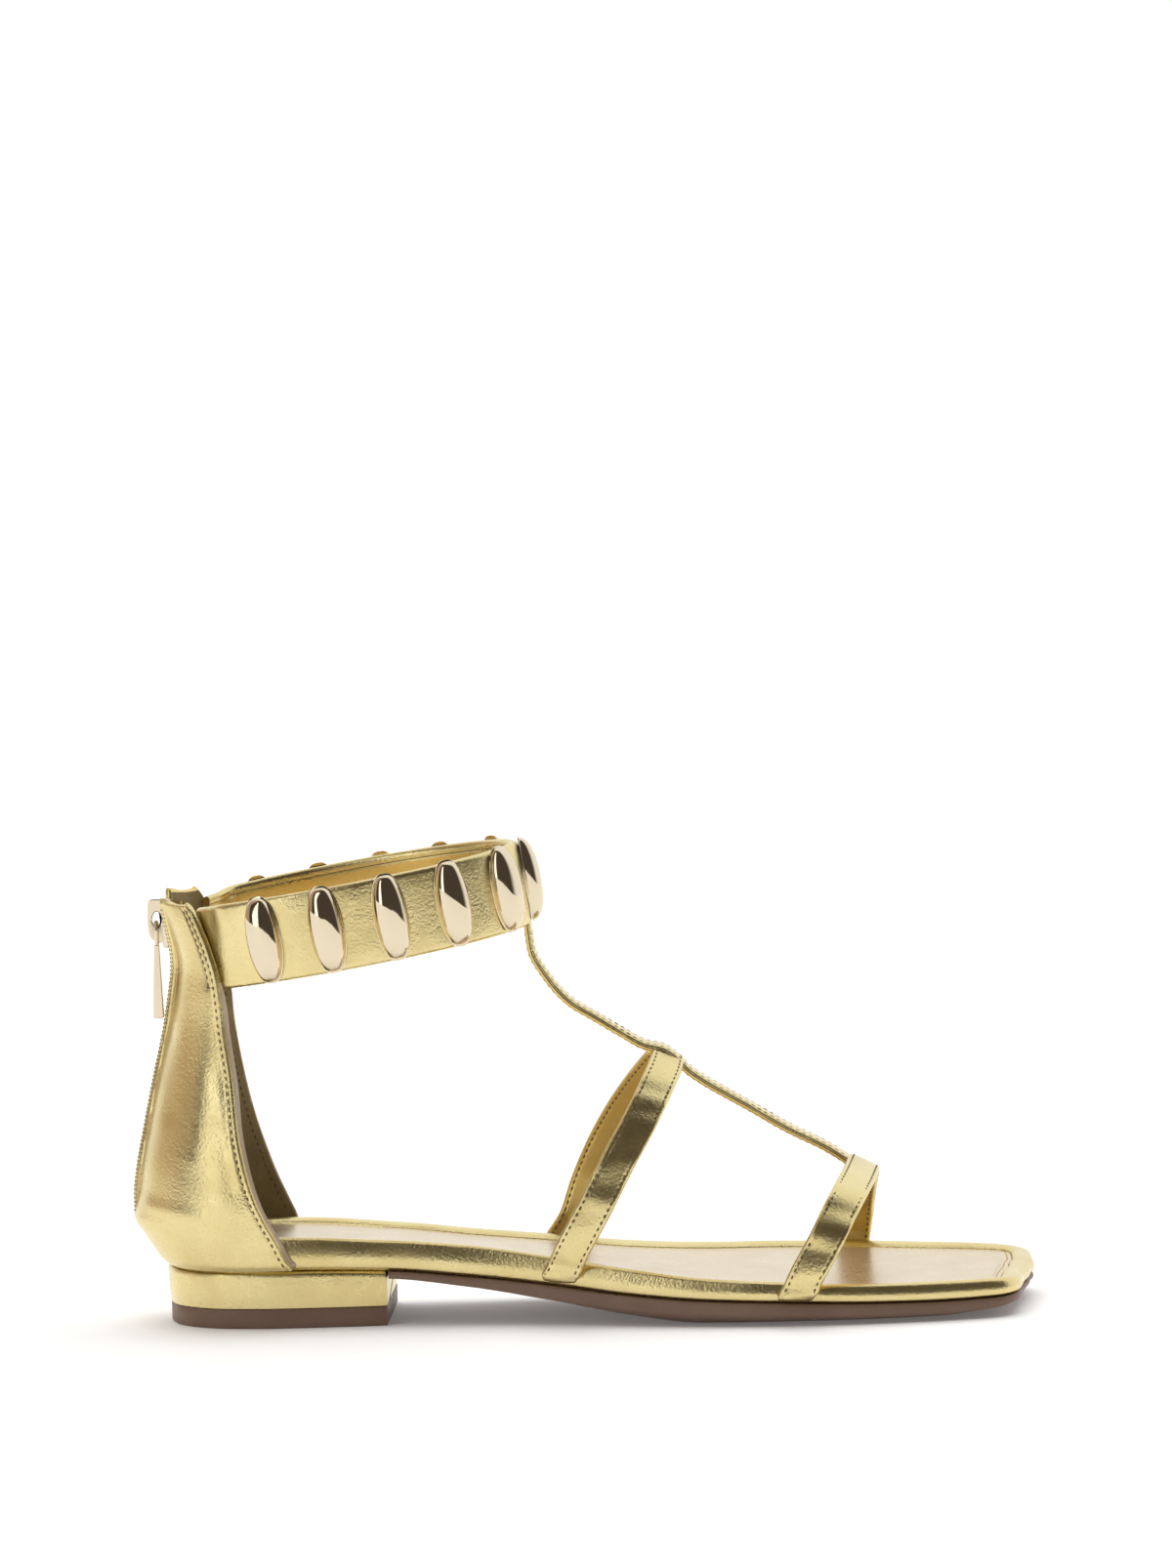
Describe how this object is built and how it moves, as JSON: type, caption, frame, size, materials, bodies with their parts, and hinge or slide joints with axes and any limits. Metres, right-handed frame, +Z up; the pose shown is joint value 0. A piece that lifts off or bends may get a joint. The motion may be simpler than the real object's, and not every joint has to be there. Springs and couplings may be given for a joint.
{
  "type": "gladiator sandal",
  "caption": "Flat open-toe gladiator sandal, right shoe: low block heel, padded footbed, centre and cross straps, studded ankle cuff and a back zip with a hanging pull.",
  "frame": {"origin": "on the floor under the middle of the heel's flat underside", "axes": "+X to the toe, +Y to the inner side of the foot, +Z up"},
  "size_m": [0.2506, 0.0854, 0.132],
  "materials": {
    "gold_leather": "metallic gold foil on finely grained leather, semi-gloss",
    "gold_lining": "smooth metallic gold lining",
    "brown_sole": "matt mid-brown moulded sole unit",
    "champagne_metal": "mirror-polished pale gold plating"
  },
  "bodies": {
    "shoe": {"top_lift": "brown_sole", "heel_block": "gold_leather", "outsole": "brown_sole", "footbed": "gold_leather", "sock_lining": "gold_lining", "upper": "gold_leather", "zip_chain": "champagne_metal", "zip_slider": "champagne_metal", "stud_01": "champagne_metal", "stud_02": "champagne_metal", "stud_03": "champagne_metal", "stud_04": "champagne_metal", "stud_05": "champagne_metal", "stud_06": "champagne_metal", "stud_07": "champagne_metal", "stud_08": "champagne_metal", "stud_09": "champagne_metal", "stud_10": "champagne_metal", "stud_11": "champagne_metal"},
    "pull": {"zip_pull": "champagne_metal"}
  },
  "joints": [
    {"name": "pull_hinge", "type": "hinge", "parent": "shoe", "child": "pull", "pos_m": [-0.03291, 0, 0.11097], "axis": [0, 1, 0], "range_deg": [0, 145]}
  ]
}
